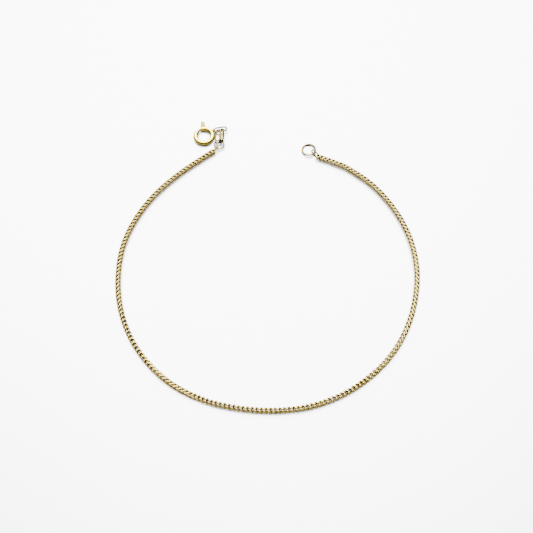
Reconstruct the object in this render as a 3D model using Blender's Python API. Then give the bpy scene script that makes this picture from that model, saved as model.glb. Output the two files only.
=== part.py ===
"""Franco chain bracelet in yellow gold, unclasped and laid flat in a round loop.

Units are metres, +Z is up, and the surface it lies on is z = 0. The origin is the middle of its footprint.
+X runs to the wearer's right across the loop, and the clasp end and the ring end are both at +Y.
"""
import math

import bmesh
import bpy
from mathutils import Vector

MM = 0.001

# Chain: a thin square chain of V-folded links, carried here as one round tube of its real thickness.
CHAIN_RADIUS = 0.55 * MM
CHAIN_HEIGHT = 0.56 * MM
CHAIN_POINT_SPACING = 2.45 * MM
# Route of the chain's middle in plan, in millimetres, from the ring end clockwise round to the clasp end.
CHAIN_ROUTE = (
    (12.06, 25.55), (15.30, 24.23), (19.00, 22.33), (24.50, 17.73), (28.80, 11.83), (31.70, 5.13),
    (32.90, -2.17), (32.30, -9.17), (30.20, -16.17), (26.60, -22.47), (21.50, -27.77), (15.40, -31.77),
    (8.50, -34.27), (1.30, -35.07), (-6.00, -34.57), (-13.20, -32.87), (-19.70, -29.67), (-25.20, -24.87),
    (-29.40, -18.87), (-32.00, -11.97), (-32.90, -4.77), (-32.30, 2.53), (-29.80, 9.43), (-25.90, 15.53),
    (-20.80, 20.83), (-15.50, 25.13), (-12.98, 26.97),
)

# Spring ring: a hollow ring of bent tube, open at its mouth, with a slot in the outer wall for the lever.
CLASP_CENTRE = Vector((-15.08, 31.53, 0.0)) * MM
CLASP_RADIUS = 2.00 * MM
TUBE_RADIUS = 0.55 * MM
BORE_RADIUS = 0.39 * MM
TUBE_SIDES = 12
MOUTH_START = 115.5
MOUTH_END = 142.0
SLOT_START = 51.0
SLOT_END = 106.0
SLOT_HEIGHT = 0.36 * MM

# Tongue and lever: one sprung piece that turns about the ring's centre and closes the mouth.
TONGUE_RADIUS = 0.27 * MM
TONGUE_START = 84.0
TONGUE_END = 150.0
LEVER_ANGLE = 96.5
LEVER_INNER = 2.63 * MM
LEVER_OUTER = 4.10 * MM
LEVER_ROOT_WIDTH = 1.00 * MM
LEVER_TIP_WIDTH = 0.86 * MM
LEVER_THICKNESS = 0.52 * MM
STEM_WIDTH = 0.46 * MM
STEM_THICKNESS = 0.24 * MM
RIB_HEIGHT = 0.09 * MM
RIB_WIDTH = 0.20 * MM
RIB_SPACING = 0.30 * MM

# Wire of the rings and links.
RING_SIDES = 10
RING_STEPS = 40
STRIP_WIDTH = 0.48 * MM
STRIP_THICKNESS = 0.25 * MM
STRIP_CORNER = 0.07 * MM

# Loose rings and links in millimetres and degrees. Heading is the long axis in plan, and tilt lifts the
# side to its left. Length and width are taken along the middle of the wire.
# name, x, y, z, heading, tilt, length, width, wire radius (none for the flat strip)
RINGS = (
    ("end_ring", 9.71, 27.78, 0.41, -140, 6, 3.10, 3.10, 0.20),
    ("end_link", 11.17, 26.59, 0.62, -50, 70, 2.25, 0.95, 0.165),
    ("clasp_end_link", -12.28, 27.87, 0.60, 236, 57, 1.86, 1.00, 0.16),
    ("thin_jump_ring", -11.45, 29.04, 0.66, 2, 6, 2.25, 2.25, 0.17),
    ("oval_jump_ring", -11.74, 31.24, 0.81, -87, 45, 3.50, 1.75, 0.18),
    ("band_jump_ring", -10.89, 31.31, 0.90, -91, 58, 3.65, 1.60, None),
)
EYELET = ("eyelet", -11.26, 33.28, 0.67, 10, -7, 2.98, 1.20, 0.18)
SOLDER_ANGLE = 33.0
SOLDER_INNER = 2.46 * MM
SOLDER_RADIUS = 0.27 * MM

# Gold as it shows in the photograph: colour and roughness of each piece.
WARM_GOLD = (0.83, 0.64, 0.30)
PALE_GOLD = (0.86, 0.74, 0.46)
CREAM_GOLD = (0.88, 0.76, 0.45)


def clear_scene():
    """Remove whatever the file opened with."""
    for item in list(bpy.data.objects):
        bpy.data.objects.remove(item, do_unlink=True)


def gold(name, colour, roughness):
    """A Principled metal of the given colour."""
    material = bpy.data.materials.new(name)
    material.use_nodes = True
    shader = material.node_tree.nodes["Principled BSDF"]
    shader.inputs["Base Color"].default_value = (*colour, 1.0)
    shader.inputs["Metallic"].default_value = 1.0
    shader.inputs["Roughness"].default_value = roughness
    return material


def add_object(name, bm, material, guide=False):
    """Turn a bmesh into an object; a guide is a hidden shape that another object cuts with or joins."""
    bmesh.ops.recalc_face_normals(bm, faces=bm.faces)
    mesh = bpy.data.meshes.new(name)
    bm.to_mesh(mesh)
    bm.free()
    mesh.materials.append(material)
    mesh.shade_smooth()
    mesh.set_sharp_from_angle(angle=math.radians(50))
    item = bpy.data.objects.new(name, mesh)
    bpy.context.scene.collection.objects.link(item)
    if guide:
        item.hide_render = True
        item.display_type = "WIRE"
    return item


def combine(item, other, operation):
    """Join or cut an object with a guide."""
    modifier = item.modifiers.new(operation.title(), "BOOLEAN")
    modifier.operation = operation
    modifier.solver = "EXACT"
    modifier.object = other


def on_circle(radius, degrees, height=0.0):
    """A point around the clasp's centre, which is the local origin of all its pieces."""
    angle = math.radians(degrees)
    return Vector((radius * math.cos(angle), radius * math.sin(angle), height))


def wire_section(radius, sides):
    """A wire's round section with a flat at top and bottom, as (across, up) pairs."""
    step = 2 * math.pi / sides
    return [(radius * math.sin(step * (i + 0.5)), radius * math.cos(step * (i + 0.5))) for i in range(sides)]


def strip_section():
    """The section of flat strip with its corners cut, as (across, up) pairs."""
    across = STRIP_THICKNESS / 2
    up = STRIP_WIDTH / 2
    cut = STRIP_CORNER
    corners = []
    for side_across, side_up in ((1, 1), (1, -1), (-1, -1), (-1, 1)):
        near = (side_across * across, side_up * (up - cut))
        far = (side_across * (across - cut), side_up * up)
        corners += [near, far] if side_across * side_up < 0 else [far, near]
    return corners


def oval_path(length, width, steps):
    """Middle line of a flat oval with straight sides, as (point, outward direction) pairs."""
    radius = width / 2
    straight = (length - width) / 2
    path = []
    for i in range(steps):
        angle = 2 * math.pi * (i + 0.5) / steps
        outward = Vector((math.cos(angle), math.sin(angle), 0.0))
        shift = math.copysign(straight, outward.x)
        path.append((outward * radius + Vector((shift, 0.0, 0.0)), outward))
    return path


def bridge_rings(bm, rows, closed):
    """Faces between neighbouring rows of vertices, each row being a closed loop."""
    count = len(rows) if closed else len(rows) - 1
    sides = len(rows[0])
    for i in range(count):
        row = rows[i]
        following = rows[(i + 1) % len(rows)]
        for k in range(sides):
            after = (k + 1) % sides
            bm.faces.new((row[k], row[after], following[after], following[k]))


def closed_wire(bm, path, section):
    """Sweep a section round a closed flat path."""
    rows = []
    for point, outward in path:
        rows.append([bm.verts.new(point + outward * across + Vector((0.0, 0.0, up))) for across, up in section])
    bridge_rings(bm, rows, closed=True)


def ring(row, material, guide=False):
    """One ring or link of the table, placed by its location and rotation."""
    name, x, y, z, heading, tilt, length, width, radius = row
    section = strip_section() if radius is None else wire_section(radius * MM, RING_SIDES)
    bm = bmesh.new()
    closed_wire(bm, oval_path(length * MM, width * MM, RING_STEPS), section)
    item = add_object(name, bm, material, guide)
    item.location = Vector((x, y, z)) * MM
    item.rotation_euler = (math.radians(tilt), 0.0, math.radians(heading))
    return item


def arc_rows(bm, radius, section, start, end, steps, height):
    """Rows of vertices of a section swept along an arc round the clasp's centre."""
    rows = []
    for i in range(steps + 1):
        degrees = start + (end - start) * i / steps
        rows.append([bm.verts.new(on_circle(radius + across, degrees, height + up)) for across, up in section])
    return rows


def arc_block(inner, outer, start, end, steps, low, high):
    """A solid block that follows an arc round the clasp's centre."""
    bm = bmesh.new()
    section = [(inner, low), (outer, low), (outer, high), (inner, high)]
    rows = arc_rows(bm, 0.0, section, start, end, steps, 0.0)
    bridge_rings(bm, rows, closed=False)
    bm.faces.new(rows[0])
    bm.faces.new(list(reversed(rows[-1])))
    return bm


def tapered_block(bm, rows):
    """A solid through rectangular rows, given as lists of four corners."""
    verts = [[bm.verts.new(corner) for corner in row] for row in rows]
    bridge_rings(bm, verts, closed=False)
    bm.faces.new(verts[0])
    bm.faces.new(list(reversed(verts[-1])))


def smooth_route(points, spacing):
    """Evenly spaced points on a Catmull-Rom curve through the route's own points."""
    knots = [Vector(point) for point in points]
    knots = [knots[0] * 2 - knots[1]] + knots + [knots[-1] * 2 - knots[-2]]
    fine = []
    for a, b, c, d in zip(knots, knots[1:], knots[2:], knots[3:]):
        for i in range(40):
            t = i / 40
            bend = 2 * a - 5 * b + 4 * c - d
            curl = 3 * b - a - 3 * c + d
            fine.append(0.5 * (2 * b + (c - a) * t + bend * t * t + curl * t ** 3))
    fine.append(knots[-2])
    travel = [0.0]
    for first, second in zip(fine, fine[1:]):
        travel.append(travel[-1] + (second - first).length)
    count = round(travel[-1] / spacing)
    route = []
    index = 0
    for i in range(count + 1):
        wanted = travel[-1] * i / count
        while index < len(fine) - 2 and travel[index + 1] < wanted:
            index += 1
        part = (wanted - travel[index]) / (travel[index + 1] - travel[index])
        route.append(fine[index].lerp(fine[index + 1], part))
    return route


def build_chain():
    """The chain as a round tube along its route, lying on the surface."""
    curve = bpy.data.curves.new("franco_chain", "CURVE")
    curve.dimensions = "3D"
    curve.bevel_depth = CHAIN_RADIUS
    curve.bevel_resolution = 2
    curve.use_fill_caps = True
    route = smooth_route(CHAIN_ROUTE, CHAIN_POINT_SPACING / MM)
    spline = curve.splines.new("POLY")
    spline.points.add(len(route) - 1)
    for point, place in zip(spline.points, route):
        point.co = (place.x * MM, place.y * MM, CHAIN_HEIGHT, 1.0)
    curve.materials.append(gold("chain_gold", WARM_GOLD, 0.24))
    bpy.context.scene.collection.objects.link(bpy.data.objects.new("franco_chain", curve))


def build_clasp_body():
    """The hollow split ring with its lever slot, and the eyelet soldered to its side."""
    metal = gold("clasp_gold", CREAM_GOLD, 0.12)
    height = TUBE_RADIUS * math.cos(math.pi / TUBE_SIDES)
    outer = wire_section(TUBE_RADIUS, TUBE_SIDES)
    inner = wire_section(BORE_RADIUS, TUBE_SIDES)
    bm = bmesh.new()
    end = MOUTH_START + 360.0
    outer_rows = arc_rows(bm, CLASP_RADIUS, outer, MOUTH_END, end, 46, height)
    inner_rows = arc_rows(bm, CLASP_RADIUS, inner, MOUTH_END, end, 46, height)
    bridge_rings(bm, outer_rows, closed=False)
    bridge_rings(bm, inner_rows, closed=False)
    for outer_row, inner_row in ((outer_rows[0], inner_rows[0]), (outer_rows[-1], inner_rows[-1])):
        bridge_rings(bm, [outer_row, inner_row], closed=False)
    body = add_object("spring_ring_body", bm, metal)
    body.location = CLASP_CENTRE

    slot = arc_block(CLASP_RADIUS, CLASP_RADIUS + 2 * TUBE_RADIUS, SLOT_START, SLOT_END, 12,
                     height - SLOT_HEIGHT / 2, height + SLOT_HEIGHT / 2)
    cutter = add_object("slot_cutter", slot, metal, guide=True)
    cutter.location = CLASP_CENTRE
    combine(body, cutter, "DIFFERENCE")

    # Solder joins the tube's wall to the eyelet's near end.
    eyelet = ring(EYELET, metal, guide=True)
    length = (EYELET[6] - EYELET[7]) / 2 + EYELET[7] / 2
    heading = math.radians(EYELET[4])
    near_end = eyelet.location - Vector((math.cos(heading), math.sin(heading), 0.0)) * length * MM
    seat_start = CLASP_CENTRE + on_circle(SOLDER_INNER, SOLDER_ANGLE, height)
    bm = bmesh.new()
    bmesh.ops.create_cone(bm, cap_ends=True, segments=RING_SIDES, radius1=SOLDER_RADIUS,
                          radius2=SOLDER_RADIUS * 0.8, depth=(near_end - seat_start).length)
    seat = add_object("solder_seat", bm, metal, guide=True)
    seat.location = (near_end + seat_start) / 2
    seat.rotation_euler = (near_end - seat_start).to_track_quat("Z", "Y").to_euler()
    combine(body, seat, "UNION")
    combine(body, eyelet, "UNION")
    return metal


def build_trigger(metal):
    """The tongue that closes the mouth, with its stem through the slot and the ribbed thumb lever."""
    height = TUBE_RADIUS * math.cos(math.pi / TUBE_SIDES)
    bm = bmesh.new()
    rows = arc_rows(bm, CLASP_RADIUS, wire_section(TONGUE_RADIUS, 10), TONGUE_START, TONGUE_END, 12, height)
    bridge_rings(bm, rows, closed=False)
    bm.faces.new(rows[0])
    bm.faces.new(list(reversed(rows[-1])))
    tongue = add_object("spring_ring_trigger", bm, metal)
    tongue.location = CLASP_CENTRE

    out = on_circle(1.0, LEVER_ANGLE)
    side = Vector((-out.y, out.x, 0.0))

    def row(radius, width, low, high):
        """Four corners across the lever at one distance from the ring's centre."""
        middle = out * radius
        pairs = ((-width / 2, low), (width / 2, low), (width / 2, high), (-width / 2, high))
        return [middle + side * across + Vector((0.0, 0.0, height + up)) for across, up in pairs]

    stem = bmesh.new()
    half = STEM_THICKNESS / 2
    tapered_block(stem, [row(CLASP_RADIUS, STEM_WIDTH, -half, half), row(LEVER_INNER * 1.06, STEM_WIDTH, -half, half)])
    stem_guide = add_object("stem_guide", stem, metal, guide=True)
    stem_guide.location = CLASP_CENTRE
    combine(tongue, stem_guide, "UNION")

    lever = bmesh.new()
    half = LEVER_THICKNESS / 2
    tip = LEVER_TIP_WIDTH / 2
    sections = [(LEVER_INNER, LEVER_ROOT_WIDTH)]
    for i in range(7):
        angle = math.pi / 2 * i / 6
        sections.append((LEVER_OUTER - tip + tip * math.sin(angle) * 0.98, LEVER_TIP_WIDTH * max(math.cos(angle), 0.3)))
    tapered_block(lever, [row(radius, width, -half, half) for radius, width in sections])
    lever_guide = add_object("lever_guide", lever, metal, guide=True)
    lever_guide.location = CLASP_CENTRE
    combine(tongue, lever_guide, "UNION")

    # Raised ribs run along the lever's top face so that a thumbnail grips it.
    for k, offset in enumerate((-RIB_SPACING, 0.0, RIB_SPACING)):
        rib = bmesh.new()
        shift = side * offset
        ends = []
        for radius in (LEVER_INNER + 0.12 * MM, LEVER_OUTER - 0.34 * MM):
            ends.append([corner + shift for corner in row(radius, RIB_WIDTH, half - 0.05 * MM, half + RIB_HEIGHT)])
        tapered_block(rib, ends)
        rib_guide = add_object("rib_guide_%d" % k, rib, metal, guide=True)
        rib_guide.location = CLASP_CENTRE
        combine(tongue, rib_guide, "UNION")


def main():
    clear_scene()
    build_chain()
    metal = build_clasp_body()
    build_trigger(metal)
    for row in RINGS:
        colour = CREAM_GOLD if row[0] == "band_jump_ring" else PALE_GOLD
        ring(row, gold(row[0] + "_gold", colour, 0.16))


main()
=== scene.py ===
"""Looks of a thin franco chain bracelet in yellow gold, unclasped and laid in a loop on a white table."""

import math

import bmesh
import bpy
from mathutils import Matrix, Vector


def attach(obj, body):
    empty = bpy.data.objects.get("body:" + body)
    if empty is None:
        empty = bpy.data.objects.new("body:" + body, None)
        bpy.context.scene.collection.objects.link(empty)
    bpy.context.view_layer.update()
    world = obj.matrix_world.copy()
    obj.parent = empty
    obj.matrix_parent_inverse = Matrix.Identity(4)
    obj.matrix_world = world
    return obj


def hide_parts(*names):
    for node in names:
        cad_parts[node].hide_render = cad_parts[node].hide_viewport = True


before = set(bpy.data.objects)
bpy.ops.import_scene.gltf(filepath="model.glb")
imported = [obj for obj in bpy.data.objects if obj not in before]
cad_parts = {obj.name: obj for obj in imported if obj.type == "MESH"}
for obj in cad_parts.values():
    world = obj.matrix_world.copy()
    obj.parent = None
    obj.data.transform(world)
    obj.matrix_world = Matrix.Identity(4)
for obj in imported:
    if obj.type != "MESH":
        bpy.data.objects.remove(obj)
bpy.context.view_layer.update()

# Chain. A franco chain is made of short links of round gold wire, each soldered into a ring and folded into
# a V. The two front bows of a link lie over the two rear bows of the next one and catch on them, which makes
# the chain square. Where it lies loose it turns slowly about its own length.
MM = 0.001
LINK_PITCH = 0.9485 * MM
WIRE_THICKNESS = 0.345 * MM
CHAIN_MIDDLE = 0.70 * MM
# Route of the chain's middle in plan, in millimetres, from the ring end clockwise round to the clasp end.
CHAIN_ROUTE = (
    (12.06, 25.55), (15.30, 24.23), (19.00, 22.33), (24.50, 17.73), (28.80, 11.83), (31.70, 5.13),
    (32.90, -2.17), (32.30, -9.17), (30.20, -16.17), (26.60, -22.47), (21.50, -27.77), (15.40, -31.77),
    (8.50, -34.27), (1.30, -35.07), (-6.00, -34.57), (-13.20, -32.87), (-19.70, -29.67), (-25.20, -24.87),
    (-29.40, -18.87), (-32.00, -11.97), (-32.90, -4.77), (-32.30, 2.53), (-29.80, 9.43), (-25.90, 15.53),
    (-20.80, 20.83), (-15.50, 25.13), (-12.98, 26.97),
)
# How far the chain has turned about its own length: (distance from the ring end in mm, degrees).
CHAIN_TURN = (
    (0, -15), (12, -17), (24, -24), (36, -33), (48, -42), (60, -70), (75, -98), (100, -100), (108, -57),
    (116, -27), (122, -4), (128, 20), (134, 50), (144, 58), (156, 67), (163, 71), (172, 74), (178, 80),
)
# Spacing of the route's points in millimetres, and the parts that each stretch between two of them has.
ROUTE_SPACING = 0.475
ROUTE_PARTS = 40
# Points round a link and sides of its wire.
LINK_POINTS = 24
LINK_SIDES = 5


def smooth_route(points, spacing):
    """Evenly spaced points on a Catmull-Rom curve through the route's own points, in millimetres."""
    knots = [Vector(point) for point in points]
    knots = [knots[0] * 2 - knots[1]] + knots + [knots[-1] * 2 - knots[-2]]
    fine = []
    for a, b, c, d in zip(knots, knots[1:], knots[2:], knots[3:]):
        for i in range(ROUTE_PARTS):
            t = i / ROUTE_PARTS
            bend = 2 * a - 5 * b + 4 * c - d
            curl = 3 * b - a - 3 * c + d
            fine.append(0.5 * (2 * b + (c - a) * t + bend * t * t + curl * t ** 3))
    fine.append(knots[-2])
    travel = [0.0]
    for first, second in zip(fine, fine[1:]):
        travel.append(travel[-1] + (second - first).length)
    count = round(travel[-1] / spacing)
    route = []
    index = 0
    for i in range(count + 1):
        wanted = travel[-1] * i / count
        while index < len(fine) - 2 and travel[index + 1] < wanted:
            index += 1
        part = (wanted - travel[index]) / (travel[index + 1] - travel[index])
        route.append((wanted, fine[index].lerp(fine[index + 1], part)))
    return route


def from_table(table, place):
    """The table's value at a place, eased between its rows."""
    for (start, low), (end, high) in zip(table, table[1:]):
        if place <= end:
            part = (place - start) / (end - start)
            return low + (high - low) * part * part * (3 - 2 * part)
    return table[-1][1]


def add_node(tree, kind, values=(), **settings):
    """A node with its settings made and its inputs linked from another node's output, or set to a value."""
    node = tree.nodes.new(kind)
    for name, value in settings.items():
        setattr(node, name, value)
    for socket, value in dict(values).items():
        if isinstance(value, bpy.types.NodeSocket):
            tree.links.new(value, node.inputs[socket])
        else:
            node.inputs[socket].default_value = value
    return node


def math_node(tree, operation, first, second=0.0):
    """One sum, product, sine or cosine, as its output socket."""
    return add_node(tree, "ShaderNodeMath", {0: first, 1: second}, operation=operation).outputs[0]


def vector_node(tree, operation, values, output="Vector"):
    """One step of vector arithmetic, as its output socket."""
    return add_node(tree, "ShaderNodeVectorMath", values, operation=operation).outputs[output]


def named_input(tree, name, kind, value):
    """A named input of the modifier, with its starting value."""
    socket = tree.interface.new_socket(name, in_out="INPUT", socket_type=kind)
    if value is not None:
        socket.default_value = value
    return socket


def wave(tree, angle, parts, use):
    """Sum of size times the sine or cosine of a whole number of turns, as its output socket."""
    total = None
    for turns, size in parts:
        inner = math_node(tree, "MULTIPLY", angle, float(turns))
        term = math_node(tree, "MULTIPLY", math_node(tree, use, inner), size)
        total = term if total is None else math_node(tree, "ADD", total, term)
    return total


def chain_tree():
    """Links of one folded ring each, instanced along a route and turned with it."""
    tree = bpy.data.node_groups.new("Folded chain links", "GeometryNodeTree")
    tree.interface.new_socket("Geometry", in_out="INPUT", socket_type="NodeSocketGeometry")
    tree.interface.new_socket("Geometry", in_out="OUTPUT", socket_type="NodeSocketGeometry")
    named_input(tree, "Pitch", "NodeSocketFloat", 0.001)
    named_input(tree, "Wire thickness", "NodeSocketFloat", 0.0003)
    named_input(tree, "Side reach", "NodeSocketFloat", 0.3)
    named_input(tree, "Side pinch", "NodeSocketFloat", -0.2)
    named_input(tree, "Side ripple", "NodeSocketFloat", 0.06)
    named_input(tree, "Side crimp", "NodeSocketFloat", -0.01)
    named_input(tree, "Fold depth", "NodeSocketFloat", 0.7)
    named_input(tree, "Fold flatness", "NodeSocketFloat", -0.02)
    named_input(tree, "Points in a link", "NodeSocketInt", LINK_POINTS)
    named_input(tree, "Sides of the wire", "NodeSocketInt", LINK_SIDES)
    named_input(tree, "Looseness in degrees", "NodeSocketFloat", 1.0)
    named_input(tree, "Gold", "NodeSocketMaterial", None)
    given = tree.nodes.new("NodeGroupInput").outputs

    # One ring of wire: it goes once round while it rises and falls twice, which folds it into a V.
    index = add_node(tree, "GeometryNodeInputIndex").outputs[0]
    share = math_node(tree, "DIVIDE", index, given["Points in a link"])
    angle = math_node(tree, "MULTIPLY", share, 2 * math.pi)
    minus_pinch = math_node(tree, "MULTIPLY", given["Side pinch"], -1.0)
    minus_crimp = math_node(tree, "MULTIPLY", given["Side crimp"], -1.0)
    reach = given["Side reach"]
    pinch = given["Side pinch"]
    ripple = given["Side ripple"]
    crimp = given["Side crimp"]
    across = wave(tree, angle, ((1, reach), (3, pinch), (5, ripple), (7, crimp)), "COSINE")
    upright = wave(tree, angle, ((1, reach), (3, minus_pinch), (5, ripple), (7, minus_crimp)), "SINE")
    along = wave(tree, angle, ((2, given["Fold depth"]), (6, given["Fold flatness"])), "COSINE")
    place = add_node(tree, "ShaderNodeCombineXYZ", {0: across, 1: upright, 2: along}).outputs[0]
    scaled = vector_node(tree, "SCALE", {0: place, "Scale": given["Pitch"]})
    round_kind = "GeometryNodeCurvePrimitiveCircle"
    circle = add_node(tree, round_kind, {"Resolution": given["Points in a link"], "Radius": 1.0})
    ring = add_node(tree, "GeometryNodeSetPosition", {"Geometry": circle.outputs[0], "Position": scaled})
    half = math_node(tree, "MULTIPLY", given["Wire thickness"], 0.5)
    section = add_node(tree, round_kind, {"Resolution": given["Sides of the wire"], "Radius": half})
    wires = {"Curve": ring.outputs[0], "Profile Curve": section.outputs[0]}
    link = add_node(tree, "GeometryNodeCurveToMesh", wires)
    smooth = add_node(tree, "GeometryNodeSetShadeSmooth", {"Geometry": link.outputs[0], "Shade Smooth": True})

    # Each point keeps how far it faces out of the chain, so that the inner sides, between the links, get a
    # painted shade.
    here = add_node(tree, "GeometryNodeInputPosition").outputs[0]
    facing = add_node(tree, "GeometryNodeInputNormal").outputs[0]
    flat = vector_node(tree, "MULTIPLY", {0: here, 1: (1.0, 1.0, 0.0)})
    outwards = vector_node(tree, "NORMALIZE", {0: flat})
    shown = vector_node(tree, "DOT_PRODUCT", {0: outwards, 1: facing}, "Value")
    kept = {"Geometry": smooth.outputs[0], "Name": "painted_shade_facing", "Value": shown}
    marked = add_node(tree, "GeometryNodeStoreNamedAttribute", kept, data_type="FLOAT", domain="POINT")

    # A link at each step of the route, turned with it and a little loose.
    route = {"Curve": given["Geometry"], "Length": given["Pitch"]}
    points = add_node(tree, "GeometryNodeCurveToPoints", route, mode="LENGTH")
    limit = math_node(tree, "RADIANS", given["Looseness in degrees"])
    other = math_node(tree, "MULTIPLY", limit, -1.0)
    lowest = add_node(tree, "ShaderNodeCombineXYZ", {0: other, 1: other, 2: other}).outputs[0]
    highest = add_node(tree, "ShaderNodeCombineXYZ", {0: limit, 1: limit, 2: limit}).outputs[0]
    spread = {"Min": lowest, "Max": highest, "Seed": 4}
    loose = add_node(tree, "FunctionNodeRandomValue", spread, data_type="FLOAT_VECTOR")
    play = add_node(tree, "FunctionNodeEulerToRotation", {0: loose.outputs[0]})
    turns = {0: points.outputs["Rotation"], 1: play.outputs[0]}
    turned = add_node(tree, "FunctionNodeRotateRotation", turns, rotation_space="LOCAL")
    seats = {"Points": points.outputs[0], "Instance": marked.outputs[0], "Rotation": turned.outputs[0]}
    placed = add_node(tree, "GeometryNodeInstanceOnPoints", seats)
    real = add_node(tree, "GeometryNodeRealizeInstances", {"Geometry": placed.outputs[0]})
    gold = add_node(tree, "GeometryNodeSetMaterial", {"Geometry": real.outputs[0], "Material": given["Gold"]})
    out = tree.nodes.new("NodeGroupOutput")
    tree.links.new(gold.outputs[0], out.inputs[0])
    return tree


def set_inputs(modifier, values):
    """Set the modifier's inputs by the identifier of each named socket."""
    for item in modifier.node_group.interface.items_tree:
        if item.item_type == "SOCKET" and item.in_out == "INPUT" and item.name in values:
            modifier[item.identifier] = values[item.name]


def as_plain_mesh(source, name):
    """The evaluated object as a plain mesh object of its own; the source is removed."""
    bpy.context.view_layer.update()
    evaluated = source.evaluated_get(bpy.context.evaluated_depsgraph_get())
    mesh = bpy.data.meshes.new_from_object(evaluated)
    mesh.name = name
    bpy.data.objects.remove(source, do_unlink=True)
    item = bpy.data.objects.new(name, mesh)
    bpy.context.scene.collection.objects.link(item)
    return item


def polished_gold(name, colour, roughness, grain, strength, painted_shade_colour, painted_shade_span):
    """Polished gold with faint marks, a slow change of tone, and a painted shade where a point faces in or
    down.
    """
    material = bpy.data.materials.new(name)
    material.use_nodes = True
    tree = material.node_tree
    shader = tree.nodes["Principled BSDF"]
    shader.inputs["Metallic"].default_value = 1.0
    place = add_node(tree, "ShaderNodeTexCoord").outputs["Object"]
    slow = add_node(tree, "ShaderNodeTexNoise", {"Vector": place, "Scale": 260.0, "Detail": 3.0})
    tone = add_node(tree, "ShaderNodeValToRGB", {0: slow.outputs[0]})
    tone.color_ramp.elements[0].position = 0.3
    tone.color_ramp.elements[0].color = (*[c * 0.94 for c in colour], 1.0)
    tone.color_ramp.elements[1].position = 0.7
    tone.color_ramp.elements[1].color = (*[min(c * 1.05, 1.0) for c in colour], 1.0)
    # Painted shade: a deeper colour is mixed in where the point faces into the chain or downward.
    side = add_node(tree, "ShaderNodeAttribute", attribute_name="painted_shade_facing").outputs["Fac"]
    reach = {0: side, 1: painted_shade_span[0], 2: painted_shade_span[1], 3: 0.0, 4: 1.0}
    painted_shade_blend = add_node(tree, "ShaderNodeMapRange", reach, interpolation_type="SMOOTHSTEP")
    tones = {"Factor": painted_shade_blend.outputs[0], 6: (*painted_shade_colour, 1.0), 7: tone.outputs[0]}
    shade = add_node(tree, "ShaderNodeMix", tones, data_type="RGBA")
    tree.links.new(shade.outputs[2], shader.inputs["Base Color"])
    marks = {"Vector": place, "Scale": grain, "Detail": 5.0, "Roughness": 0.62}
    fine = add_node(tree, "ShaderNodeTexNoise", marks)
    span = {0: fine.outputs[0], 1: 0.3, 2: 0.7, 3: roughness * 0.75, 4: roughness * 1.3}
    rough = add_node(tree, "ShaderNodeMapRange", span)
    tree.links.new(rough.outputs[0], shader.inputs["Roughness"])
    dents = {"Height": fine.outputs[0], "Strength": strength, "Distance": 0.01 * MM}
    bump = add_node(tree, "ShaderNodeBump", dents)
    tree.links.new(bump.outputs[0], shader.inputs["Normal"])
    return material


chain_gold = polished_gold(
    "chain_gold_polish", colour=(0.64, 0.50, 0.10), roughness=0.20, grain=9000.0, strength=0.25,
    painted_shade_colour=(0.20, 0.14, 0.045), painted_shade_span=(0.48, 0.93),
)
route_curve = bpy.data.curves.new("chain_route", "CURVE")
route_curve.dimensions = "3D"
route_curve.twist_mode = "Z_UP"
steps = smooth_route(CHAIN_ROUTE, ROUTE_SPACING)
spline = route_curve.splines.new("POLY")
spline.points.add(len(steps) - 1)
for point, (distance, spot) in zip(spline.points, steps):
    point.co = (spot.x * MM, spot.y * MM, CHAIN_MIDDLE, 1.0)
    point.tilt = math.radians(from_table(CHAIN_TURN, distance))
chain_source = bpy.data.objects.new("chain_route", route_curve)
bpy.context.scene.collection.objects.link(chain_source)
modifier = chain_source.modifiers.new("Links", "NODES")
modifier.node_group = chain_tree()
# The sizes of the fold are shares of the pitch.
set_inputs(modifier, {
    "Pitch": LINK_PITCH,
    "Wire thickness": WIRE_THICKNESS,
    "Side reach": 0.3521,
    "Side pinch": -0.2917,
    "Side ripple": 0.1284,
    "Side crimp": -0.0111,
    "Fold depth": 0.6342,
    "Fold flatness": 0.0798,
    "Points in a link": LINK_POINTS,
    "Sides of the wire": LINK_SIDES,
    "Looseness in degrees": 1.0,
    "Gold": chain_gold,
})
chain = as_plain_mesh(chain_source, "chain_links")
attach(chain, "bracelet")
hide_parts("franco_chain")

# End ring and end link. Both are round gold wire, bent round a rod, cut and closed with solder. The small
# flat link joins the chain's first link to the plain round ring that the clasp hooks into.
RING_STEPS = 96
RING_SIDES = 14
# x, y, z, heading, tilt, length and width in millimetres and degrees, along the middle of the wire.
END_RING = (9.71, 27.78, 0.41, -140, 6, 3.10, 3.10)
END_LINK = (11.17, 26.59, 0.62, -50, 70, 2.25, 0.95)
END_RING_WIRE = 0.205 * MM
THIN_WIRE = 0.178 * MM


def oval_path(length, width, steps):
    """Middle line of a flat oval with straight sides, as (point, outward direction) pairs."""
    radius = width / 2
    straight = (length - width) / 2
    path = []
    for i in range(steps):
        angle = 2 * math.pi * (i + 0.5) / steps
        outward = Vector((math.cos(angle), math.sin(angle), 0.0))
        shift = Vector((math.copysign(straight, outward.x), 0.0, 0.0))
        path.append((outward * radius + shift, outward))
    return path


def seat(x, y, z, heading, tilt):
    """Where a ring lies: its middle, the heading of its long side, and how far its left side is lifted."""
    turn = Matrix.Rotation(math.radians(heading), 4, "Z") @ Matrix.Rotation(math.radians(tilt), 4, "X")
    return Matrix.Translation(Vector((x, y, z)) * MM) @ turn


def join_rows(bm, rows, closed):
    """Faces between neighbouring rows of vertices, each row being a closed loop."""
    for i in range(len(rows) if closed else len(rows) - 1):
        row = rows[i]
        following = rows[(i + 1) % len(rows)]
        for k in range(len(row)):
            after = (k + 1) % len(row)
            bm.faces.new((row[k], row[after], following[after], following[k]))


def round_section(radius, sides):
    """A round section as (across, up) pairs."""
    angles = [2 * math.pi * k / sides for k in range(sides)]
    return [(radius * math.cos(angle), radius * math.sin(angle)) for angle in angles]


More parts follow.
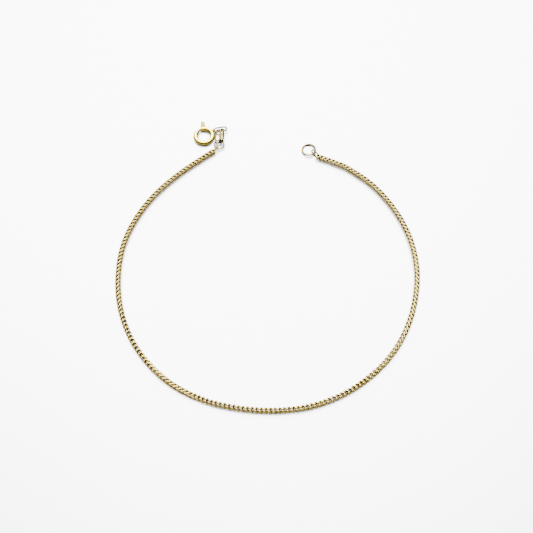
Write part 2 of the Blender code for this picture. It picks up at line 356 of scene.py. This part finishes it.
def add_piece(name, bm, material, body, replaced):
    """A finished piece: normals out, smooth, riding on its body in place of the CAD node."""
    bmesh.ops.recalc_face_normals(bm, faces=bm.faces)
    mesh = bpy.data.meshes.new(name)
    bm.to_mesh(mesh)
    bm.free()
    mesh.materials.append(material)
    mesh.shade_smooth()
    # Painted shade: each point keeps how far its normal points up, so the lower sides come out darker.
    upward = mesh.attributes.new("painted_shade_facing", "FLOAT", "POINT")
    for vert, value in zip(mesh.vertices, upward.data):
        value.value = 0.5 + 0.5 * vert.normal.z
    item = bpy.data.objects.new(name, mesh)
    bpy.context.scene.collection.objects.link(item)
    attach(item, body)
    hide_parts(replaced)
    return item


def wire_ring(name, row, section, material, joint, replaced):
    """A closed ring of wire, a little swollen at its solder joint, which lies at a share of the way round."""
    x, y, z, heading, tilt, length, width = row
    place = seat(x, y, z, heading, tilt)
    bm = bmesh.new()
    rows = []
    for i, (point, outward) in enumerate(oval_path(length * MM, width * MM, RING_STEPS)):
        away = abs((i / RING_STEPS - joint + 0.5) % 1.0 - 0.5) * RING_STEPS
        swell = 1.0 + 0.07 * math.exp(-(away - 1.6) ** 2) - 0.05 * math.exp(-away * away * 3)
        ring = []
        for across, up in section:
            spot = point + outward * across * swell + Vector((0.0, 0.0, up * swell))
            ring.append(bm.verts.new(place @ spot))
        rows.append(ring)
    join_rows(bm, rows, closed=True)
    add_piece(name, bm, material, "bracelet", replaced)


# The rings' gold has a far darker base colour than the chain's gold: a painted shade, so the thin wires come
# out dark.
link_gold = polished_gold(
    "link_gold_polish", colour=(0.105, 0.078, 0.016), roughness=0.14, grain=9000.0, strength=0.2,
    painted_shade_colour=(0.05, 0.035, 0.01), painted_shade_span=(0.55, 0.95),
)
end_wire = round_section(END_RING_WIRE, RING_SIDES)
thin_wire = round_section(THIN_WIRE, RING_SIDES)
wire_ring("round_end_ring", END_RING, end_wire, link_gold, 0.62, "end_ring")
wire_ring("small_end_link", END_LINK, thin_wire, link_gold, 0.25, "end_link")

# Rings at the clasp end. A small link holds the chain, a thin round ring holds that, and an oval ring of
# thicker wire and a ring of flat strip, side by side, join the thin ring to the clasp's eyelet. All are gold,
# bent to shape and soldered shut.
CLASP_END_LINK = (-12.28, 27.87, 0.60, 236, 57, 1.86, 1.00)
THIN_RING = (-11.45, 29.04, 0.66, 2, 6, 2.25, 2.25)
OVAL_RING = (-11.74, 31.24, 0.81, -87, 45, 3.50, 1.75)
BAND_RING = (-10.89, 31.31, 0.90, -91, 58, 3.65, 1.60)
OVAL_RING_WIRE = 0.197 * MM
STRIP_WIDTH = 0.48 * MM
STRIP_THICKNESS = 0.25 * MM


def strip_section():
    """Flat strip with its edges rolled round and its outer side crowned, as (across, up) pairs."""
    pairs = []
    for k in range(20):
        angle = 2 * math.pi * k / 20
        c = math.cos(angle)
        s = math.sin(angle)
        across = math.copysign(abs(c) ** 0.75, c) * STRIP_THICKNESS / 2
        up = math.copysign(abs(s) ** 0.55, s) * STRIP_WIDTH / 2
        pairs.append((across, up))
    return pairs


oval_wire = round_section(OVAL_RING_WIRE, RING_SIDES)
wire_ring("small_clasp_link", CLASP_END_LINK, thin_wire, link_gold, 0.22, "clasp_end_link")
wire_ring("thin_round_ring", THIN_RING, thin_wire, link_gold, 0.45, "thin_jump_ring")
wire_ring("oval_wire_ring", OVAL_RING, oval_wire, link_gold, 0.27, "oval_jump_ring")
wire_ring("flat_strip_ring", BAND_RING, strip_section(), link_gold, 0.74, "band_jump_ring")

# Clasp body. A hollow split ring of thin gold tube, bent round a spring, with its mouth at the upper left and
# a slot along its rim for the lever. The tube's lips are rolled in, and it is polished bright.
CLASP_CENTRE = Vector((-15.08, 31.53, 0.0)) * MM
CLASP_RADIUS = 2.00 * MM
TUBE_RADIUS = 0.55 * MM
BORE_RADIUS = 0.39 * MM
TUBE_MIDDLE = 0.5313 * MM
MOUTH_START = 115.5
MOUTH_END = 142.0
SLOT_START = 51.0
SLOT_END = 106.0
TUBE_SIDES = 36
SLOT_SIDES = 2
# Steps along the tube: its long part, its slot, and its short end between slot and mouth.
LONG_STEPS = 70
SLOT_STEPS = 16
SHORT_STEPS = 5
LIP_SHRINK = 0.93


def on_circle(radius, degrees, height=0.0):
    """A point around the clasp's centre."""
    angle = math.radians(degrees)
    return CLASP_CENTRE + Vector((radius * math.cos(angle), radius * math.sin(angle), TUBE_MIDDLE + height))


def split_ring():
    """The tube of the clasp: two walls, rolled lips at the mouth and the lever's slot through the rim."""
    bm = bmesh.new()
    long_part = SLOT_START + 360.0 - MOUTH_END
    turns = [MOUTH_END + long_part * i / LONG_STEPS for i in range(LONG_STEPS)]
    turns += [SLOT_START + 360.0 + (SLOT_END - SLOT_START) * i / SLOT_STEPS for i in range(SLOT_STEPS)]
    turns += [SLOT_END + 360.0 + (MOUTH_START - SLOT_END) * i / SHORT_STEPS for i in range(SHORT_STEPS + 1)]
    first_slot = LONG_STEPS
    last_slot = LONG_STEPS + SLOT_STEPS
    walls = []
    for radius in (TUBE_RADIUS, BORE_RADIUS):
        rows = []
        for i, degrees in enumerate(turns):
            at_lip = radius == TUBE_RADIUS and i in (0, len(turns) - 1)
            section = round_section(radius * (LIP_SHRINK if at_lip else 1.0), TUBE_SIDES)
            spots = [on_circle(CLASP_RADIUS + across, degrees, up) for across, up in section]
            rows.append([bm.verts.new(spot) for spot in spots])
        walls.append(rows)
    sides = [k % TUBE_SIDES for k in range(-SLOT_SIDES, SLOT_SIDES)]
    for rows in walls:
        for i in range(len(rows) - 1):
            for k in range(TUBE_SIDES):
                if first_slot <= i < last_slot and k in sides:
                    continue
                after = (k + 1) % TUBE_SIDES
                bm.faces.new((rows[i][k], rows[i][after], rows[i + 1][after], rows[i + 1][k]))
    outer, inner = walls
    for i in (0, len(outer) - 1):
        for k in range(TUBE_SIDES):
            after = (k + 1) % TUBE_SIDES
            bm.faces.new((outer[i][k], outer[i][after], inner[i][after], inner[i][k]))
    for i in range(first_slot, last_slot):
        for k in (-SLOT_SIDES, SLOT_SIDES):
            bm.faces.new((outer[i][k], outer[i + 1][k], inner[i + 1][k], inner[i][k]))
    for i in (first_slot, last_slot):
        for k in sides:
            after = (k + 1) % TUBE_SIDES
            bm.faces.new((outer[i][k], outer[i][after], inner[i][after], inner[i][k]))
    return bm


clasp_gold = polished_gold(
    "clasp_gold_polish", colour=(0.66, 0.55, 0.035), roughness=0.10, grain=7000.0, strength=0.15,
    painted_shade_colour=(0.20, 0.15, 0.045), painted_shade_span=(0.45, 0.93),
)
tube = add_piece("spring_ring_tube", split_ring(), clasp_gold, "bracelet", "spring_ring_body")
edges = tube.modifiers.new("Lips", "EDGE_SPLIT")
edges.split_angle = math.radians(50.0)

# Eyelet. An oval loop of round gold wire that holds the oval ring and the strip ring. It is soldered to the
# side of the clasp body, and a lump of redder solder shows at its foot.
EYELET = (-11.26, 33.28, 0.67, 10, -7, 2.98, 1.20)
EYELET_WIRE = 0.197 * MM
SOLDER_ANGLE = 33.0
SOLDER_INNER = 2.46 * MM
SOLDER_RADIUS = 0.42 * MM


def solder_lump():
    """A rounded lump that runs from the tube's wall up to the eyelet, uneven as melted metal sets."""
    start = on_circle(SOLDER_INNER, SOLDER_ANGLE)
    near = seat(*EYELET[:5]) @ Vector((-EYELET[5] / 2 * MM, 0.0, 0.0))
    along = near - start
    reach = along.length / 2 + SOLDER_RADIUS * 0.75
    frame_turn = along.to_track_quat("X", "Z").to_matrix()
    bm = bmesh.new()
    bmesh.ops.create_icosphere(bm, subdivisions=4, radius=1.0)
    for vert in bm.verts:
        way = vert.co.normalized()
        lumpy = 1.0 + 0.07 * math.sin(7 * way.x + 2) * math.cos(5 * way.y)
        lumpy += 0.05 * math.sin(9 * way.z + 4 * way.x)
        wide = SOLDER_RADIUS * (1.0 - 0.12 * way.x)
        local = Vector((way.x * reach, way.y * wide, way.z * SOLDER_RADIUS * 0.95)) * lumpy
        vert.co = (start + near) / 2 + frame_turn @ local
    return bm


solder_gold = polished_gold(
    "solder_polish", colour=(0.17, 0.07, 0.035), roughness=0.28, grain=5000.0, strength=0.5,
    painted_shade_colour=(0.12, 0.05, 0.025), painted_shade_span=(0.2, 0.7),
)
eyelet_wire = round_section(EYELET_WIRE, RING_SIDES)
wire_ring("clasp_eyelet", EYELET, eyelet_wire, link_gold, 0.5, "spring_ring_body")
add_piece("eyelet_solder", solder_lump(), solder_gold, "bracelet", "spring_ring_body")

# Trigger. A curved tongue of gold wire slides in the tube and closes the mouth. Its stem comes out through
# the slot and carries a small leaf-shaped thumb lever, cast with slanting grips across its top.
TONGUE_RADIUS = 0.27 * MM
TONGUE_START = 84.0
TONGUE_END = 150.0
LEVER_ANGLE = 96.5
LEVER_INNER = 2.63 * MM
LEVER_OUTER = 4.10 * MM
LEVER_WIDTH = 1.00 * MM
LEVER_THICKNESS = 0.52 * MM
STEM_WIDTH = 0.46 * MM
STEM_THICKNESS = 0.24 * MM
GRIP_COUNT = 3
GRIP_DEPTH = 0.10 * MM
TONGUE_STEPS = 28
# The tongue's ends are rounded: size of its section at the end and at the next steps.
TONGUE_NOSE = (0.35, 0.8, 0.97, 1.0)
LEVER_STEPS = 96
LEVER_SIDES = 48


def trigger_mesh():
    """Tongue, stem and lever, each a closed form, set into one another as the casting is."""
    bm = bmesh.new()
    rows = []
    for i in range(TONGUE_STEPS + 1):
        degrees = TONGUE_START + (TONGUE_END - TONGUE_START) * i / TONGUE_STEPS
        nose = min(i, TONGUE_STEPS - i, len(TONGUE_NOSE) - 1)
        section = round_section(TONGUE_RADIUS * TONGUE_NOSE[nose], 16)
        spots = [on_circle(CLASP_RADIUS + across, degrees, up) for across, up in section]
        rows.append([bm.verts.new(spot) for spot in spots])
    join_rows(bm, rows, closed=False)
    for row in (rows[0], rows[-1]):
        bm.faces.new(row)
    out = on_circle(1.0, LEVER_ANGLE) - on_circle(0.0, LEVER_ANGLE)
    side = Vector((-out.y, out.x, 0.0))
    middle = on_circle(0.0, LEVER_ANGLE)

    def block(stations):
        """A rounded solid through stations of (distance, width, thickness, with or without grips)."""
        loops = []
        for distance, width, thickness, grips in stations:
            loop = []
            for k in range(LEVER_SIDES):
                angle = 2 * math.pi * k / LEVER_SIDES
                c = math.cos(angle)
                s = math.sin(angle)
                across = math.copysign(abs(c) ** 0.7, c) * width / 2
                up = math.copysign(abs(s) ** 0.7, s) * thickness / 2
                if grips and s > 0.0:
                    travel = (distance - LEVER_INNER) / (LEVER_OUTER - LEVER_INNER)
                    slant = travel * 1.25 - across / LEVER_WIDTH * 0.75
                    dip = (0.5 + 0.5 * math.cos(2 * math.pi * slant * GRIP_COUNT)) ** 1.6
                    up -= GRIP_DEPTH * dip * min(1.0, s * 2.5)
                spot = middle + out * distance + side * across + Vector((0.0, 0.0, up))
                loop.append(bm.verts.new(spot))
            loops.append(loop)
        join_rows(bm, loops, closed=False)
        for loop in (loops[0], loops[-1]):
            bm.faces.new(loop)

    stem_ends = (CLASP_RADIUS, LEVER_INNER * 1.06)
    block([(distance, STEM_WIDTH, STEM_THICKNESS, False) for distance in stem_ends])
    stations = []
    for i in range(LEVER_STEPS + 1):
        share = i / LEVER_STEPS
        distance = LEVER_INNER + (LEVER_OUTER - LEVER_INNER) * share
        past = max(0.0, (share - 0.66) / 0.34)
        rounding = min(1.0, math.sqrt(max(0.0, 1.0 - past ** 2)) + 0.02)
        root = min(1.0, 0.55 + 1.6 * math.sqrt(share)) if share < 0.08 else 1.0
        width = LEVER_WIDTH * (1.0 - 0.14 * share) * rounding * root
        thickness = LEVER_THICKNESS * max(rounding, 0.25) ** 0.5 * root
        stations.append((distance, width, thickness, True))
    block(stations)
    return bm


# The lever's gold has a darker base colour than the clasp's gold: a painted shade on the whole lever.
lever_gold = polished_gold(
    "lever_gold_polish", colour=(0.36, 0.30, 0.05), roughness=0.12, grain=7000.0, strength=0.15,
    painted_shade_colour=(0.06, 0.042, 0.012), painted_shade_span=(0.80, 0.99),
)
trigger = add_piece(
    "thumb_lever_and_tongue", trigger_mesh(), lever_gold, "trigger", "spring_ring_trigger",
)
edges = trigger.modifiers.new("Edges", "EDGE_SPLIT")
edges.split_angle = math.radians(60.0)

# Table. A wide sheet of glossy white paper that the bracelet lies on. It mirrors the white tent a little, so
# it comes out nearly as bright as that.
TABLE_HALF = 2.0
TABLE_TONE = (0.78, 0.78, 0.78, 1.0)
bm = bmesh.new()
bmesh.ops.create_grid(bm, x_segments=1, y_segments=1, size=TABLE_HALF)
mesh = bpy.data.meshes.new("table_top")
bm.to_mesh(mesh)
bm.free()
table = bpy.data.objects.new("table_top", mesh)
bpy.context.scene.collection.objects.link(table)
paper = bpy.data.materials.new("white_paper")
paper.use_nodes = True
surface = paper.node_tree.nodes["Principled BSDF"]
surface.inputs["Base Color"].default_value = TABLE_TONE
surface.inputs["Roughness"].default_value = 0.4
surface.inputs["Metallic"].default_value = 0.7
mesh.materials.append(paper)

# Light. A white tent hangs behind and above the bracelet, in a dim warm room, and one soft square lamp
# stands at the upper left. The tent's edge is soft, so the gold shades from cream to brown.
TENT_DIRECTION = (0.0, 0.60, 0.80)
TENT_SQUEEZE = (1.35, 1.0, 1.0)
TENT_EDGE = (0.70, 0.84)
TENT_COLOUR = (20.0, 20.0, 20.0, 1.0)
ROOM_COLOUR = (0.26, 0.235, 0.20, 1.0)
LAMP_PLACE = (-0.30, 0.30, 0.55)
world = bpy.data.worlds.new("studio")
bpy.context.scene.world = world
world.use_nodes = True
sky = world.node_tree
way = add_node(sky, "ShaderNodeTexCoord").outputs["Generated"]
narrow = vector_node(sky, "MULTIPLY", {0: way, 1: TENT_SQUEEZE})
even = vector_node(sky, "NORMALIZE", {0: narrow})
towards = vector_node(sky, "DOT_PRODUCT", {0: even, 1: TENT_DIRECTION}, "Value")
edge = {0: towards, 1: TENT_EDGE[0], 2: TENT_EDGE[1], 3: 0.0, 4: 1.0}
tent = add_node(sky, "ShaderNodeMapRange", edge, interpolation_type="SMOOTHSTEP")
glow = {"Factor": tent.outputs[0], 6: ROOM_COLOUR, 7: TENT_COLOUR}
tone = add_node(sky, "ShaderNodeMix", glow, data_type="RGBA")
sky.links.new(tone.outputs[2], sky.nodes["Background"].inputs["Color"])
lamp_data = bpy.data.lights.new("key_light", "AREA")
lamp_data.shape = "SQUARE"
lamp_data.size = 0.2
lamp_data.energy = 0.5
lamp = bpy.data.objects.new("key_light", lamp_data)
lamp.location = LAMP_PLACE
lamp.rotation_euler = (-Vector(LAMP_PLACE)).to_track_quat("-Z", "Y").to_euler()
bpy.context.scene.collection.objects.link(lamp)

# Camera. It stands in front of the bracelet and looks down on it steeply, as whoever lays it on a table does.
# The bracelet is in the middle of a square picture.
CAMERA_TARGET = Vector((-0.273, -2.246, 0.0)) * MM
CAMERA_RISE = math.radians(65.5)
CAMERA_DISTANCE = 195.118 * MM
camera_data = bpy.data.cameras.new("camera")
camera_data.lens = 59.44
camera_data.sensor_width = 36.0
camera_data.clip_start = 0.01
camera_data.clip_end = 10.0
camera = bpy.data.objects.new("camera", camera_data)
bpy.context.scene.collection.objects.link(camera)
towards_camera = Vector((0.0, -math.cos(CAMERA_RISE), math.sin(CAMERA_RISE)))
camera.location = CAMERA_TARGET + towards_camera * CAMERA_DISTANCE
camera.rotation_euler = (math.radians(90.0) - CAMERA_RISE, 0.0, 0.0)
bpy.context.scene.camera = camera
